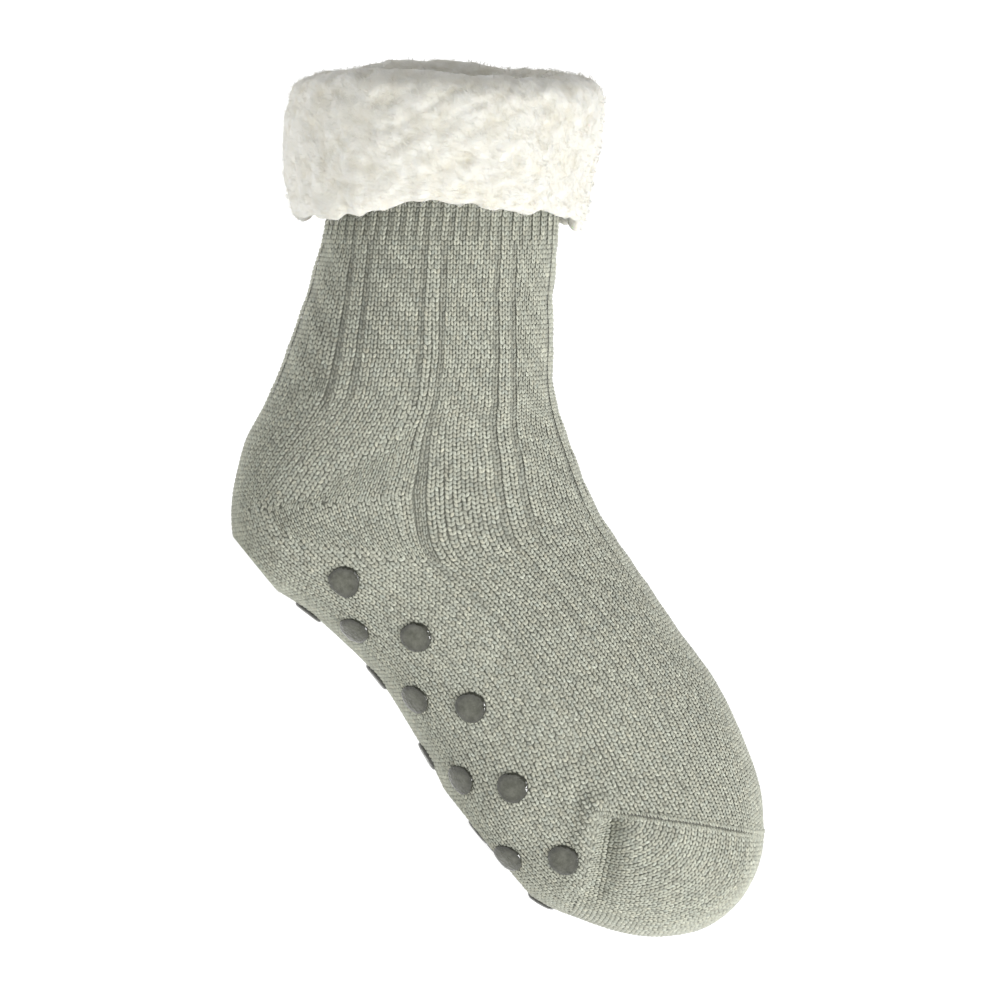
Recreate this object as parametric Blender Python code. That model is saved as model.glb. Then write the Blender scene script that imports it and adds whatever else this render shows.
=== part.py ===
"""A knitted slipper sock with a turned-over fleece cuff, a linked toe seam and grip dots.

It stands empty on its sole. X runs from the heel to the toe, Z is up, and Y = 0 is its middle
plane. The origin is on the floor under the middle of the heel. Metres.
"""

import math
from collections import namedtuple

import bmesh
import bpy
import numpy as np

# Driving sizes of the knitted sock
FOOT_LENGTH = 0.230
INSTEP_HEIGHT = 0.098
BALL_WIDTH = 0.067
ANKLE_AHEAD = 0.0075
ANKLE_HEIGHT = 0.067
SHAFT_LENGTH = 0.124
SHAFT_DEPTH = 0.080
SHAFT_WIDTH = 0.063
SHAFT_LEAN = 51
WALL = 0.003
SECTION_FULLNESS = 2.2
SEAT_GAP = 0.0003

# Driving sizes of the fleece cuff
CUFF_HEIGHT = 0.046
CUFF_STAND = 0.0172
CUFF_PILE = 0.0066
CUFF_ROLL = 0.0062
CUFF_LINING = 0.0034
CUFF_LINING_DROP = 0.026
CUFF_GAP = 0.0006
CUFF_EDGE_RISE = 0.008
LOCK_HEIGHT = 0.0011
LOCK_ROWS = 5
LOCKS_AROUND = 14

# Driving sizes of the grip dots and of the toe seam
DOT_RADIUS = 0.00545
DOT_THICKNESS = 0.001
DOT_ROW_SPACING = 0.0185
SEAM_WIDTH = 0.0030
SEAM_HEIGHT = 0.0011

# Numbers of facets
KNIT_AROUND = 36
SECTION_RING_COUNT = 2
CUFF_AROUND = 54
DOT_SIDES = 12
SEAM_STEPS = 18

# The shaft's sections, from the collar edge down to the ankle. They lie square to the leaning
# shaft. Along is a share of the shaft's length above the ankle point, back and front are shares
# of its depth, and half_width is a share of its width.
ShaftSection = namedtuple("ShaftSection", "name along back front half_width")
SHAFT_SECTIONS = (
    ShaftSection("collar_edge", 1.00, -0.330, 0.630, 0.495),
    ShaftSection("under_cuff", 0.63, -0.385, 0.617, 0.495),
    ShaftSection("mid_leg", 0.41, -0.480, 0.600, 0.495),
    ShaftSection("ankle", 0.20, -0.600, 0.604, 0.490),
)

# The foot's sections, from the heel round to the tip of the toe. Each runs from a point on the
# back or the sole to one on the instep. Lengths along X are shares of the foot's length, heights
# are shares of the instep's height, and half_width is a share of the ball's width.
FootSection = namedtuple("FootSection", "name sole_x sole_z top_x top_z half_width")
FOOT_SECTIONS = (
    FootSection("heel_top", -0.139, 0.249, 0.131, 1.164, 0.455),
    FootSection("heel_back", -0.091, 0.094, 0.189, 1.115, 0.450),
    FootSection("heel_round", -0.037, -0.006, 0.242, 1.078, 0.445),
    FootSection("heel_seat", 0.013, -0.036, 0.283, 1.060, 0.445),
    FootSection("heel_front", 0.076, 0.012, 0.330, 1.049, 0.450),
    FootSection("waist", 0.174, 0.066, 0.402, 1.032, 0.460),
    FootSection("arch", 0.287, 0.078, 0.499, 1.019, 0.475),
    FootSection("tread", 0.404, 0.042, 0.590, 1.004, 0.490),
    FootSection("ball", 0.528, -0.022, 0.678, 0.965, 0.500),
    FootSection("toe_root", 0.640, -0.010, 0.753, 0.903, 0.490),
    FootSection("toe_cap", 0.746, 0.091, 0.819, 0.811, 0.435),
    FootSection("toe_front", 0.824, 0.218, 0.852, 0.725, 0.345),
    FootSection("toe_round", 0.871, 0.359, 0.870, 0.649, 0.215),
    FootSection("toe_end", 0.884, 0.472, 0.878, 0.584, 0.090),
    FootSection("toe_tip", 0.883, 0.538, 0.883, 0.538, 0.000),
)
TIP_RINGS_BEFORE_TIP = (0.6, 0.35)

# The outer face of the cuff's flap, from the roll down to its lower edge. Down is a share of the
# cuff's height. Stand and front are shares of how far it stands off the knit, round most of the
# leg and at its front.
CuffFace = namedtuple("CuffFace", "down stand front")
CUFF_FACE = (
    CuffFace(0.05, 0.95, 0.86),
    CuffFace(0.20, 1.00, 0.88),
    CuffFace(0.42, 0.98, 0.80),
    CuffFace(0.64, 0.90, 0.67),
    CuffFace(0.82, 0.78, 0.62),
    CuffFace(0.94, 0.66, 0.58),
)

# How far the slack roll rises above its usual height round the collar, or sinks below it. Angles
# are in degrees from the left side towards the front, rises in metres.
RimRise = namedtuple("RimRise", "name angle rise")
RIM_RISES = (
    RimRise("back", -90, -0.0005),
    RimRise("left_back", -50, 0.0022),
    RimRise("left", -10, 0.0066),
    RimRise("left_front", 35, 0.0034),
    RimRise("front", 90, 0.0012),
    RimRise("right_front", 140, -0.0008),
    RimRise("right", 180, 0.0004),
    RimRise("right_back", 212, 0.0024),
    RimRise("back_again", 270, -0.0005),
)

# Rows of grip dots along the sole. Aside is in row spacings from the middle, round the sole;
# first and pitch are shares of the foot's length, along X from the origin.
DotRow = namedtuple("DotRow", "name aside first pitch count")
DOT_ROWS = (
    DotRow("middle", 0, 0.1184, 0.1426, 5),
    DotRow("left_inner", 1, 0.1745, 0.1383, 4),
    DotRow("right_inner", -1, 0.1745, 0.1383, 4),
    DotRow("left_outer", 2, 0.1018, 0.1333, 5),
    DotRow("right_outer", -2, 0.1018, 0.1333, 5),
)

# The toe seam crosses the toe's top. Its ends lie low at the sides, behind the toe. Places are
# in sections ahead of the ball.
SEAM_LOW_ANGLE = -10
SEAM_END_PLACE = 0.08
SEAM_REACH = 2.05

FOOT_SECTION_NAMES = [row.name for row in FOOT_SECTIONS]
ARCH_PLACE = len(SHAFT_SECTIONS) + FOOT_SECTION_NAMES.index("arch")
BALL_PLACE = len(SHAFT_SECTIONS) + FOOT_SECTION_NAMES.index("ball")
LAST_PLACE = len(SHAFT_SECTIONS) + len(FOOT_SECTIONS) - 1
DOT_STAND = SEAT_GAP + DOT_THICKNESS


def shaft_frame():
    """The ankle point, and the directions up the leaning shaft and across it to the front."""
    lean = math.radians(SHAFT_LEAN)
    ankle = np.array([ANKLE_AHEAD, ANKLE_HEIGHT])
    up = np.array([-math.sin(lean), math.cos(lean)])
    ahead = np.array([math.cos(lean), math.sin(lean)])
    return ankle, up, ahead


def section_table():
    """A row for each section: its back point, its front point, both as X and Z, and half its width."""
    ankle, up, ahead = shaft_frame()
    table = []
    for row in SHAFT_SECTIONS:
        middle = ankle + up * row.along * SHAFT_LENGTH
        back = middle + ahead * row.back * SHAFT_DEPTH
        front = middle + ahead * row.front * SHAFT_DEPTH
        table.append([*back, *front, row.half_width * SHAFT_WIDTH])
    for row in FOOT_SECTIONS:
        back = (row.sole_x * FOOT_LENGTH, row.sole_z * INSTEP_HEIGHT)
        front = (row.top_x * FOOT_LENGTH, row.top_z * INSTEP_HEIGHT)
        table.append([*back, *front, row.half_width * BALL_WIDTH])
    return np.array(table)


TABLE = section_table()


def section_at(place):
    """A smooth curve through the table's rows. Above the collar it runs straight on."""
    if place < 0:
        return TABLE[0] + (TABLE[0] - TABLE[1]) * -place
    index = min(int(place), LAST_PLACE - 1)
    part = place - index
    start = TABLE[index]
    end = TABLE[index + 1]
    before = TABLE[index - 1] if index else 2 * start - end
    after = TABLE[min(index + 2, LAST_PLACE)]
    return start + 0.5 * part * (
        end - before
        + part * (2 * before - 5 * start + 4 * end - after
                  + part * (3 * (start - end) + after - before))
    )


def bare_point(place, angle):
    """A point on the outer face before the floor flattens it. Angle 0 is the left side, 90 the top."""
    back_x, back_z, front_x, front_z, half_width = section_at(place)
    power = 2 / SECTION_FULLNESS
    cos, sin = math.cos(math.radians(angle)), math.sin(math.radians(angle))
    aside = math.copysign(abs(cos) ** power, cos) * half_width
    along = math.copysign(abs(sin) ** power, sin) * 0.5 + 0.5
    return np.array([back_x + (front_x - back_x) * along, aside,
                     back_z + (front_z - back_z) * along])


def outward(place, angle):
    """The unit normal of the outer face."""
    step_place, step_angle = 0.02, 1.5
    if place + step_place > LAST_PLACE:
        place = LAST_PLACE - step_place
    across = bare_point(place, angle + step_angle) - bare_point(place, angle - step_angle)
    onward = bare_point(place + step_place, angle) - bare_point(place - step_place, angle)
    normal = np.cross(across, onward)
    return normal / np.linalg.norm(normal)


def floor_level(place):
    """The height that the outer face is flattened at: the floor at the heel, and the dots' height
    from the arch on, where the sock stands on them."""
    return 0.0 if place < ARCH_PLACE else DOT_STAND


def sock_point(place, angle, out=0.0):
    """A point at this distance outside the knit's outer face, or inside it where out is negative."""
    point = bare_point(place, angle) + outward(place, angle) * out
    point[2] = max(point[2], floor_level(place) - out)
    return point


def new_object(name, mesh_data, material):
    mesh = bpy.data.meshes.new(name)
    mesh_data.to_mesh(mesh)
    mesh_data.free()
    mesh.materials.append(material)
    mesh.shade_smooth()
    mesh.set_sharp_from_angle(angle=math.radians(50))
    obj = bpy.data.objects.new(name, mesh)
    bpy.context.collection.objects.link(obj)
    return obj


def new_material(name, colour, roughness):
    material = bpy.data.materials.new(name)
    material.use_nodes = True
    shader = material.node_tree.nodes["Principled BSDF"]
    shader.inputs["Base Color"].default_value = (*colour, 1)
    shader.inputs["Roughness"].default_value = roughness
    shader.inputs["Metallic"].default_value = 0
    return material


def add_ring(mesh, points):
    return [mesh.verts.new(point) for point in points]


def join_rings(mesh, first, second):
    count = len(first)
    for i in range(count):
        mesh.faces.new((first[i], first[(i + 1) % count], second[(i + 1) % count], second[i]))


def close_ring(mesh, ring, centre):
    middle = mesh.verts.new(centre)
    for i in range(len(ring)):
        mesh.faces.new((ring[i], ring[(i + 1) % len(ring)], middle))


def knit_skin(mesh, places, out):
    """One face of the knit, closed at the toe. It returns the ring at the collar."""
    angles = [360 * k / KNIT_AROUND for k in range(KNIT_AROUND)]
    rings = [add_ring(mesh, [sock_point(place, angle, out) for angle in angles])
             for place in places]
    for ring, following in zip(rings, rings[1:]):
        join_rings(mesh, ring, following)
    tip = bare_point(LAST_PLACE, 0) + outward(LAST_PLACE, 0) * [1, 0, 0] * out
    close_ring(mesh, rings[-1], tip)
    return rings[0]


def knit_sock(material):
    """The sock, knitted whole: a hollow with one wall, open at the collar."""
    steps = (LAST_PLACE - 1) * SECTION_RING_COUNT
    places = [step / SECTION_RING_COUNT for step in range(steps + 1)]
    places += [LAST_PLACE - before for before in TIP_RINGS_BEFORE_TIP]
    mesh = bmesh.new()
    outer = knit_skin(mesh, places, 0.0)
    inner = knit_skin(mesh, places, -WALL)
    join_rings(mesh, outer, inner)
    bmesh.ops.recalc_face_normals(mesh, faces=mesh.faces)
    return new_object("knit_sock", mesh, material)


def collar_point(down, angle, out):
    """A point by its distance below the collar edge, up which it runs on, and outside the knit."""
    spacing = (SHAFT_SECTIONS[0].along - SHAFT_SECTIONS[1].along) * SHAFT_LENGTH
    return sock_point(down / spacing, angle, out)


def rim_rise(angle):
    """How far the slack roll rises at this angle, eased from one row of the table to the next."""
    for low, high in zip(RIM_RISES, RIM_RISES[1:]):
        if low.angle <= angle <= high.angle:
            share = (angle - low.angle) / (high.angle - low.angle)
            return low.rise + (high.rise - low.rise) * share * share * (3 - 2 * share)


def cuff_profile(angle):
    """The cuff's section as (down, out) points, round from its outer face over the roll and inside."""
    inside = -WALL - CUFF_GAP
    lining_face = inside - CUFF_LINING
    ahead = max(0.0, math.sin(math.radians(angle))) ** 2
    rise = rim_rise(angle)
    face = [(row.down * CUFF_HEIGHT, (row.stand + (row.front - row.stand) * ahead) * CUFF_STAND)
            for row in CUFF_FACE]
    top_down, top_out = face[0]
    profile = list(reversed(face))
    middle, reach = (top_out + lining_face) / 2, (top_out - lining_face) / 2
    for step in range(1, 8):
        turn = math.pi * step / 8
        profile.append((top_down * (1 - step / 8) - CUFF_ROLL * math.sin(turn),
                        middle + reach * math.cos(turn)))
    profile = [(down - rise * (1 - down / CUFF_HEIGHT), out) for down, out in profile]
    profile += [(CUFF_LINING_DROP * share - rise * (1 - share), lining_face)
                for share in (0.0, 0.35, 0.7, 0.94)]
    profile.append((CUFF_LINING_DROP, inside - CUFF_LINING / 2))
    profile += [(CUFF_LINING_DROP * share, inside) for share in (0.94, 0.45)]
    profile += [(-CUFF_GAP, inside), (-CUFF_GAP, CUFF_GAP)]
    flap_back = [(down + CUFF_PILE * 0.3, out - CUFF_PILE) for down, out in face[1:]]
    profile += flap_back[:-1]
    edge_down, edge_out = face[-1]
    profile.append((edge_down, edge_out - CUFF_PILE * 0.9))
    profile.append((CUFF_HEIGHT, edge_out - CUFF_PILE * 0.45))
    return profile


def cuff_lock(angle, down, out):
    """How far a lock of fleece stands out here. The flap's back and the lining's back stay plain."""
    if out < CUFF_STAND * 0.55 and down > -CUFF_ROLL * 0.3:
        return 0.0
    wave = math.sin(math.radians(angle * LOCKS_AROUND) + 4.0 * math.sin(down * LOCK_ROWS / CUFF_HEIGHT))
    ridge = math.sin(2 * math.pi * down * LOCK_ROWS / (2 * CUFF_HEIGHT) + math.radians(angle * 5))
    return LOCK_HEIGHT * (0.6 * wave + 0.4 * ridge)


def fleece_cuff(material):
    """The collar's fleece, turned over outwards: a roll over the rim, a flap and the lining's top."""
    mesh = bmesh.new()
    rings = []
    for k in range(CUFF_AROUND):
        angle = 360 * k / CUFF_AROUND - 90
        rise = CUFF_EDGE_RISE * math.cos(math.radians(angle)) ** 2
        ring = []
        for down, out in cuff_profile(angle):
            hang = max(0.0, down / CUFF_HEIGHT) * (1 if out > 0 else 0)
            lowered = down - rise * hang
            ring.append(collar_point(lowered, angle, out + cuff_lock(angle, down, out)))
        rings.append(add_ring(mesh, ring))
    for ring, following in zip(rings, rings[1:] + rings[:1]):
        join_rings(mesh, ring, following)
    bmesh.ops.recalc_face_normals(mesh, faces=mesh.faces)
    return new_object("fleece_cuff", mesh, material)


def seam_place(angle):
    """Where the seam crosses the sock at this angle, from its low end to the top."""
    share = (angle - SEAM_LOW_ANGLE) / (90 - SEAM_LOW_ANGLE)
    return BALL_PLACE + SEAM_END_PLACE + SEAM_REACH * math.sin(share * math.pi / 2)


def toe_seam(material):
    """The linked seam across the toe, a raised ridge that lies on the knit's own face."""
    mesh = bmesh.new()
    rings = []
    lowest, highest = SEAM_LOW_ANGLE, 180 - SEAM_LOW_ANGLE
    for step in range(SEAM_STEPS + 1):
        angle = lowest + (highest - lowest) * step / SEAM_STEPS
        upper_angle = angle if angle <= 90 else 180 - angle
        place = seam_place(upper_angle)
        ahead = bare_point(seam_place(min(upper_angle + 1, 90)), angle + (1 if angle < 90 else -1))
        here = bare_point(place, angle)
        up = outward(place, angle)
        along = ahead - here if angle < 90 else here - ahead
        if abs(angle - 90) < 1:
            along = np.array([0.0, -1.0, 0.0])
        aside = np.cross(up, along)
        aside /= np.linalg.norm(aside)
        full = 0.35 if step in (0, SEAM_STEPS) else 1.0
        section = ((-0.5, 0.0), (0.5, 0.0), (0.34, 0.75), (0.0, 1.0), (-0.34, 0.75))
        rings.append(add_ring(mesh, [
            here + aside * u * SEAM_WIDTH * full + up * (SEAT_GAP + v * SEAM_HEIGHT * full)
            for u, v in section]))
    for ring, following in zip(rings, rings[1:]):
        join_rings(mesh, ring, following)
    mesh.faces.new(rings[0])
    mesh.faces.new(rings[-1])
    bmesh.ops.recalc_face_normals(mesh, faces=mesh.faces)
    return new_object("toe_seam", mesh, material)


def sole_place(x, aside):
    """The place and angle on the sole this far ahead of the origin and this far round from the middle."""
    low, high = float(len(SHAFT_SECTIONS)), float(LAST_PLACE - 1)
    for _ in range(40):
        place = (low + high) / 2
        angle = angle_round_sole(place, aside)
        if bare_point(place, angle)[0] < x:
            low = place
        else:
            high = place
    return place, angle


def angle_round_sole(place, aside):
    """The angle at this distance round the section from the middle of the sole."""
    travelled, angle, step = 0.0, -90.0, 0.5
    here = sock_point(place, angle)
    while travelled < abs(aside):
        angle += step
        following = sock_point(place, angle)
        travelled += np.linalg.norm(following - here)
        here = following
    return angle if aside >= 0 else -180 - angle


def grip_dot(name, place, angle, material):
    """A round dot of rubber, printed on the knit and curved with it."""
    by_place = (bare_point(place + 0.2, angle) - bare_point(place - 0.2, angle)) / 0.4
    by_angle = (bare_point(place, angle + 6) - bare_point(place, angle - 6)) / 12
    onward = by_place / np.linalg.norm(by_place)
    across = np.cross(outward(place, angle), onward)
    plane = np.array([[by_place @ onward, by_angle @ onward],
                      [by_place @ across, by_angle @ across]])

    def dot_ring(mesh, radius, out):
        points = []
        for k in range(DOT_SIDES):
            turn = 2 * math.pi * k / DOT_SIDES
            moved = np.linalg.solve(plane, [radius * math.cos(turn), radius * math.sin(turn)])
            points.append(sock_point(place + moved[0], angle + moved[1], out))
        return add_ring(mesh, points)

    mesh = bmesh.new()
    under = dot_ring(mesh, DOT_RADIUS * 0.5, SEAT_GAP)
    base = dot_ring(mesh, DOT_RADIUS, SEAT_GAP)
    side = dot_ring(mesh, DOT_RADIUS, SEAT_GAP + DOT_THICKNESS * 0.6)
    top = dot_ring(mesh, DOT_RADIUS * 0.82, SEAT_GAP + DOT_THICKNESS)
    close_ring(mesh, under, sock_point(place, angle, SEAT_GAP))
    join_rings(mesh, under, base)
    join_rings(mesh, base, side)
    join_rings(mesh, side, top)
    close_ring(mesh, top, sock_point(place, angle, SEAT_GAP + DOT_THICKNESS))
    bmesh.ops.recalc_face_normals(mesh, faces=mesh.faces)
    return new_object(name, mesh, material)


def grip_dots(material):
    for row in DOT_ROWS:
        for k in range(row.count):
            x = (row.first + row.pitch * k) * FOOT_LENGTH
            place, angle = sole_place(x, row.aside * DOT_ROW_SPACING)
            grip_dot(f"grip_dot_{row.name}_{k + 1}", place, angle, material)


def build():
    for obj in list(bpy.data.objects):
        bpy.data.objects.remove(obj, do_unlink=True)
    knit = new_material("sage_knit", (0.30, 0.31, 0.24), 0.95)
    fleece = new_material("cream_fleece", (0.86, 0.84, 0.76), 1.0)
    rubber = new_material("clear_grip_rubber", (0.09, 0.10, 0.07), 0.25)
    knit_sock(knit)
    fleece_cuff(fleece)
    toe_seam(knit)
    grip_dots(rubber)


build()
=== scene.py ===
"""A knitted slipper sock with a turned-over fleece cuff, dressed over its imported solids. Metres."""

import math

import bmesh
import bpy
import numpy as np
from mathutils import Matrix, Vector
from mathutils.bvhtree import BVHTree


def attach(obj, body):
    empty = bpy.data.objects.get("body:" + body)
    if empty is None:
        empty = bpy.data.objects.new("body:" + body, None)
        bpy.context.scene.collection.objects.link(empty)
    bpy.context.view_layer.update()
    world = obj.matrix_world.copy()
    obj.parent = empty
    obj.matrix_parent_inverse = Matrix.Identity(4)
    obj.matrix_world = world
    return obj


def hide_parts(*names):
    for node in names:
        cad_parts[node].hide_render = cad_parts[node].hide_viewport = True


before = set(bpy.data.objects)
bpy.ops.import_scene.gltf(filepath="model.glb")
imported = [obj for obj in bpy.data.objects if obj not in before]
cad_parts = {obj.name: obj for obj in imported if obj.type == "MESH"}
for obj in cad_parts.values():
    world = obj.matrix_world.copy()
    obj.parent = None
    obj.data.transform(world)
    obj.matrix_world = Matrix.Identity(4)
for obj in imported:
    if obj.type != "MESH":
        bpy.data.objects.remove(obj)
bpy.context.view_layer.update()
chance = np.random.default_rng(7)


# The knitted fabric under the stitches. The real sock is one tube of marled cotton and wool yarn,
# knitted from the collar down over the heel to the toe, and this is the ground between its loops.
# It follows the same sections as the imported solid, each a curved loop from the back to the front.
FOOT_LENGTH = 0.230
INSTEP_HEIGHT = 0.098
BALL_WIDTH = 0.067
ANKLE_AHEAD = 0.0075
ANKLE_HEIGHT = 0.067
SHAFT_LENGTH = 0.124
SHAFT_DEPTH = 0.080
SHAFT_WIDTH = 0.063
SHAFT_LEAN = 51
KNIT_WALL = 0.003
SECTION_FULLNESS = 2.2
SEAT_GAP = 0.0003
DOT_THICKNESS = 0.001
# name, share of the shaft's length, back and front as shares of its depth, half width as a share
SHAFT_SECTIONS = (
    ("collar_edge", 1.00, -0.330, 0.630, 0.495),
    ("under_cuff", 0.63, -0.385, 0.617, 0.495),
    ("mid_leg", 0.41, -0.480, 0.600, 0.495),
    ("ankle", 0.20, -0.600, 0.604, 0.490),
)
# name, X and Z on the sole, X and Z on the instep, half width, all as shares
FOOT_SECTIONS = (
    ("heel_top", -0.139, 0.249, 0.131, 1.164, 0.455),
    ("heel_back", -0.091, 0.094, 0.189, 1.115, 0.450),
    ("heel_round", -0.037, -0.006, 0.242, 1.078, 0.445),
    ("heel_seat", 0.013, -0.036, 0.283, 1.060, 0.445),
    ("heel_front", 0.076, 0.012, 0.330, 1.049, 0.450),
    ("waist", 0.174, 0.066, 0.402, 1.032, 0.460),
    ("arch", 0.287, 0.078, 0.499, 1.019, 0.475),
    ("tread", 0.404, 0.042, 0.590, 1.004, 0.490),
    ("ball", 0.528, -0.022, 0.678, 0.965, 0.500),
    ("toe_root", 0.640, -0.010, 0.753, 0.903, 0.490),
    ("toe_cap", 0.746, 0.091, 0.819, 0.811, 0.435),
    ("toe_front", 0.824, 0.218, 0.852, 0.725, 0.345),
    ("toe_round", 0.871, 0.359, 0.870, 0.649, 0.215),
    ("toe_end", 0.884, 0.472, 0.878, 0.584, 0.090),
    ("toe_tip", 0.883, 0.538, 0.883, 0.538, 0.000),
)
ARCH_PLACE = 10
BALL_PLACE = 12
LAST_PLACE = 18

lean = math.radians(SHAFT_LEAN)
section_rows = []
for name, along, back, front, half in SHAFT_SECTIONS:
    middle_x = ANKLE_AHEAD - math.sin(lean) * along * SHAFT_LENGTH
    middle_z = ANKLE_HEIGHT + math.cos(lean) * along * SHAFT_LENGTH
    section_rows.append([
        middle_x + math.cos(lean) * back * SHAFT_DEPTH,
        middle_z + math.sin(lean) * back * SHAFT_DEPTH,
        middle_x + math.cos(lean) * front * SHAFT_DEPTH,
        middle_z + math.sin(lean) * front * SHAFT_DEPTH,
        half * SHAFT_WIDTH])
for name, sole_x, sole_z, top_x, top_z, half in FOOT_SECTIONS:
    section_rows.append([sole_x * FOOT_LENGTH, sole_z * INSTEP_HEIGHT,
                         top_x * FOOT_LENGTH, top_z * INSTEP_HEIGHT, half * BALL_WIDTH])
SECTIONS = np.array(section_rows)


def section_at(place):
    """The section at a place between two of the rows, on a smooth curve through them."""
    index = np.clip(np.floor(place).astype(int), 0, LAST_PLACE - 1)
    part = (place - index)[..., None]
    start, end = SECTIONS[index], SECTIONS[index + 1]
    before = np.where((index > 0)[..., None], SECTIONS[np.maximum(index - 1, 0)], 2 * start - end)
    after = SECTIONS[np.minimum(index + 2, LAST_PLACE)]
    curve = start + 0.5 * part * (end - before + part * (
        2 * before - 5 * start + 4 * end - after + part * (3 * (start - end) + after - before)))
    return np.where((place < 0)[..., None], start + (end - start) * part, curve)


def bare_point(place, angle):
    """A point on the sock's outer face. Angle 0 is the left side, 90 the instep and -90 the sole."""
    place, angle = np.broadcast_arrays(np.asarray(place, float), np.asarray(angle, float))
    back_x, back_z, front_x, front_z, half = np.moveaxis(section_at(place), -1, 0)
    cos, sin = np.cos(np.radians(angle)), np.sin(np.radians(angle))
    power = 2 / SECTION_FULLNESS
    aside = np.copysign(np.abs(cos) ** power, cos) * half
    along = np.copysign(np.abs(sin) ** power, sin) * 0.5 + 0.5
    return np.stack([back_x + (front_x - back_x) * along, aside,
                     back_z + (front_z - back_z) * along], -1)


def outward(place, angle):
    """The unit normal of the outer face."""
    place = np.minimum(np.asarray(place, float), LAST_PLACE - 0.02)
    across = bare_point(place, angle + 1.5) - bare_point(place, angle - 1.5)
    onward = bare_point(place + 0.02, angle) - bare_point(place - 0.02, angle)
    normal = np.cross(across, onward)
    return normal / np.linalg.norm(normal, axis=-1, keepdims=True)


# Creases and hollows set on both sides: name, start X and Z, end X and Z, how far to each
# side it reaches, and how high it stands, in metres
CREASES = (
    ("fold_before_toe", 0.1375, 0.0382, 0.1560, 0.0162, 0.0040, 0.0034),
    ("dimple_at_seam_end", 0.1468, 0.0377, 0.1618, 0.0212, 0.0052, -0.0054),
    ("hollow_behind_seam", 0.1210, 0.0467, 0.1310, 0.0427, 0.0090, -0.0012),
    ("crease_over_ankle", 0.0240, 0.1010, 0.0080, 0.0830, 0.0070, -0.0008),
    ("hollow_in_heel", -0.0180, 0.0420, -0.0060, 0.0240, 0.0090, -0.0008),
    ("slack_of_arch", 0.0480, 0.0300, 0.0900, 0.0260, 0.0130, -0.0008),
)
CREASE_FADE = 0.45
SLACK_HEIGHT = 0.00025
SLACK_ALONG = 160
SLACK_UP = 120


def soft_form(point):
    """How far the slack cloth swells out or sinks in here."""
    swell = SLACK_HEIGHT * np.sin(point[..., 0] * SLACK_ALONG + 2.0 * np.sin(point[..., 2] * SLACK_UP))
    for name, start_x, start_z, end_x, end_z, reach, height in CREASES:
        run = np.array([end_x - start_x, end_z - start_z])
        from_start = point[..., [0, 2]] - np.array([start_x, start_z])
        share = np.clip(from_start @ run / (run @ run), 0, 1)
        away = np.linalg.norm(from_start - share[..., None] * run, axis=-1)
        swell = swell + height * np.exp(-(away / reach) ** 2) * (1 - CREASE_FADE * share)
    return swell


def cloth_point(place, angle, out=0.0):
    """A point this far outside the slack knit's face, kept above the floor it stands on."""
    bare = bare_point(place, angle)
    point = bare + outward(place, angle) * (out + soft_form(bare))[..., None]
    stand = np.where(np.asarray(place) < ARCH_PLACE, 0.0, SEAT_GAP + DOT_THICKNESS)
    point[..., 2] = np.maximum(point[..., 2], np.maximum(stand - out, 0.0))
    return point


def mesh_piece(name, corners, faces, material, shade=None):
    """A smooth-shaded piece from corner points and equal-sided faces, with a shade at each corner."""
    mesh = bpy.data.meshes.new(name)
    corners = np.asarray(corners, np.float32).reshape(-1, 3)
    faces = np.asarray(faces, np.int32)
    mesh.vertices.add(len(corners))
    mesh.vertices.foreach_set("co", corners.ravel())
    mesh.loops.add(faces.size)
    mesh.loops.foreach_set("vertex_index", faces.ravel())
    mesh.polygons.add(len(faces))
    mesh.polygons.foreach_set("loop_start", np.arange(len(faces), dtype=np.int32) * faces.shape[1])
    if shade is not None:
        layer = mesh.attributes.new("tone_and_painted_shade", "FLOAT_COLOR", "POINT")
        colours = np.ones((len(corners), 4), np.float32)
        colours[:, :3] = np.asarray(shade, np.float32).reshape(-1, 3)
        layer.data.foreach_set("color", colours.ravel())
    mesh.update(calc_edges=True)
    mesh.validate()
    mesh.shade_smooth()
    mesh.materials.append(material)
    piece = bpy.data.objects.new(name, mesh)
    bpy.context.scene.collection.objects.link(piece)
    return piece


def grid_faces(rows, columns, closed):
    """Four-sided faces over rows and columns of points. Closed joins the last column to the first."""
    wide = columns if closed else columns - 1
    row, column = np.meshgrid(np.arange(rows - 1), np.arange(wide), indexing="ij")
    after = (column + 1) % columns
    return np.stack([row * columns + column, row * columns + after,
                     (row + 1) * columns + after, (row + 1) * columns + column], -1).reshape(-1, 4)


DARK_FIBRE = 0.82
PALE_FIBRE = 1.14


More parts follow.
